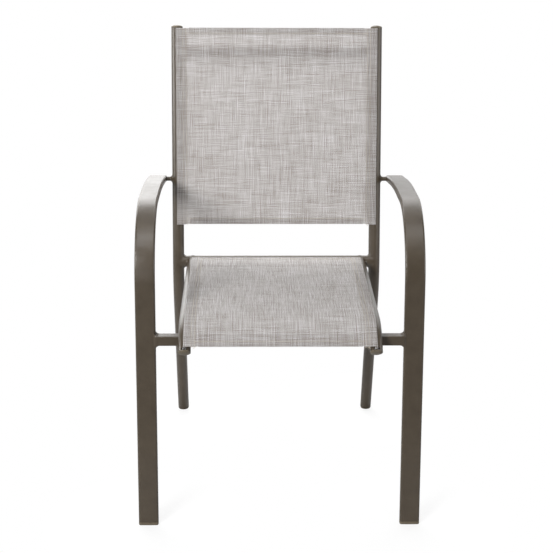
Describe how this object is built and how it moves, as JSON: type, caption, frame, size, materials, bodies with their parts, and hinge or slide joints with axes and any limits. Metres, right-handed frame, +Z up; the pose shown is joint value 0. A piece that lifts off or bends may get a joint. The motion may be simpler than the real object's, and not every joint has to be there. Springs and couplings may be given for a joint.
{
  "type": "sling patio chair",
  "caption": "Stacking patio armchair with a welded, bent steel tube frame and woven slings for seat and back.",
  "frame": {"origin": "on the floor, in the middle of the footprint", "axes": "+Z up, +X to the right as seen from the front, the chair faces -Y"},
  "size_m": [0.573, 0.6078, 0.9269],
  "materials": {
    "frame_paint": "satin taupe-brown powder coat, slightly pebbled",
    "cap_plastic": "moulded polyethylene, taupe-brown, semi-matt",
    "rod_plastic": "extruded natural white plastic rod",
    "sling_cloth": "plain weave of coated polyester yarn, light grey with irregular darker slubs"
  },
  "bodies": {
    "root": {"front_leg_and_arm_left": "frame_paint", "front_leg_and_arm_right": "frame_paint", "back_post_left": "frame_paint", "back_post_right": "frame_paint", "seat_rail_left": "frame_paint", "seat_rail_right": "frame_paint", "arm_stub_left": "frame_paint", "arm_stub_right": "frame_paint", "rear_seat_crossbar": "frame_paint", "back_top_crossbar": "frame_paint", "front_seat_crossbar": "frame_paint", "front_foot_cap_left": "cap_plastic", "front_foot_cap_right": "cap_plastic", "rear_foot_cap_left": "cap_plastic", "rear_foot_cap_right": "cap_plastic", "arm_end_plug_left": "cap_plastic", "arm_end_plug_right": "cap_plastic", "post_top_cap_left": "cap_plastic", "post_top_cap_right": "cap_plastic", "seat_rail_end_plug_left": "cap_plastic", "seat_rail_end_plug_right": "cap_plastic", "back_sling_rod_left": "rod_plastic", "back_sling_rod_right": "rod_plastic", "seat_sling_rod_left": "rod_plastic", "seat_sling_rod_right": "rod_plastic", "back_sling": "sling_cloth", "seat_sling": "sling_cloth"}
  },
  "joints": []
}
